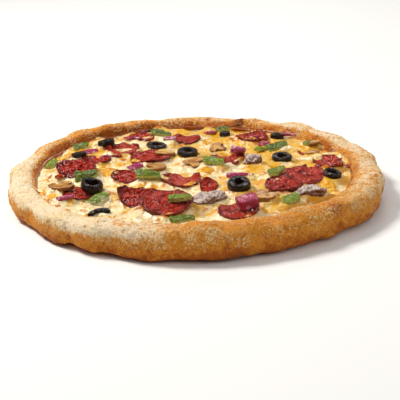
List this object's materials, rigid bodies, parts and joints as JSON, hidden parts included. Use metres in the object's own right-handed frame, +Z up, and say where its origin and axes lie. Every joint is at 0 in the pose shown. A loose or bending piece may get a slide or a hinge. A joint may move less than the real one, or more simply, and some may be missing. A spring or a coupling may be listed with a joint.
{
  "type": "supreme pizza",
  "caption": "Round uncut pizza with a puffed, grain-dusted rim and melted cheese, topped with pepperoni, sausage, mushroom, green pepper, red onion and black olives.",
  "frame": {"origin": "centre of the pizza's base, on the surface it rests on", "axes": "+Z up out of the topped face, -Y towards the side that the picture shows in front, +X to its right"},
  "size_m": [0.305, 0.303, 0.0331],
  "materials": {
    "baked_bread": "matte, finely pitted bread crust, gold to brown",
    "melted_cheese": "soft gloss, cream to yellow with browned spots",
    "pepperoni": "oily satin, mottled red with pale fat specks",
    "mushroom": "satin, tan flesh and brown skin",
    "sausage": "moist satin, rough grey-brown meat",
    "green_pepper": "glossy green skin and pale flesh",
    "red_onion": "glossy purple skin and pale lilac flesh",
    "black_olive": "wet gloss, near black"
  },
  "bodies": {
    "root": {"cheese": "melted_cheese", "crust": "baked_bread", "mushroom_01": "mushroom", "mushroom_02": "mushroom", "mushroom_03": "mushroom", "mushroom_04": "mushroom", "mushroom_05": "mushroom", "olive_01": "black_olive", "olive_02": "black_olive", "olive_03": "black_olive", "olive_04": "black_olive", "olive_05": "black_olive", "olive_06": "black_olive", "olive_07": "black_olive", "olive_08": "black_olive", "olive_09": "black_olive", "olive_10": "black_olive", "olive_11": "black_olive", "onion_01": "red_onion", "onion_02": "red_onion", "onion_03": "red_onion", "onion_04": "red_onion", "onion_05": "red_onion", "onion_06": "red_onion", "onion_07": "red_onion", "pepper_01": "green_pepper", "pepper_02": "green_pepper", "pepper_03": "green_pepper", "pepper_04": "green_pepper", "pepper_05": "green_pepper", "pepper_06": "green_pepper", "pepper_07": "green_pepper", "pepper_08": "green_pepper", "pepper_09": "green_pepper", "pepper_10": "green_pepper", "pepper_11": "green_pepper", "pepper_12": "green_pepper", "pepper_13": "green_pepper", "pepper_14": "green_pepper", "pepperoni_01": "pepperoni", "pepperoni_02": "pepperoni", "pepperoni_03": "pepperoni", "pepperoni_04": "pepperoni", "pepperoni_05": "pepperoni", "pepperoni_06": "pepperoni", "pepperoni_07": "pepperoni", "pepperoni_08": "pepperoni", "pepperoni_09": "pepperoni", "pepperoni_10": "pepperoni", "pepperoni_11": "pepperoni", "pepperoni_12": "pepperoni", "pepperoni_13": "pepperoni", "pepperoni_14": "pepperoni", "pepperoni_15": "pepperoni", "pepperoni_16": "pepperoni", "pepperoni_17": "pepperoni", "pepperoni_18": "pepperoni", "sausage_01": "sausage", "sausage_02": "sausage", "sausage_03": "sausage"}
  },
  "joints": []
}
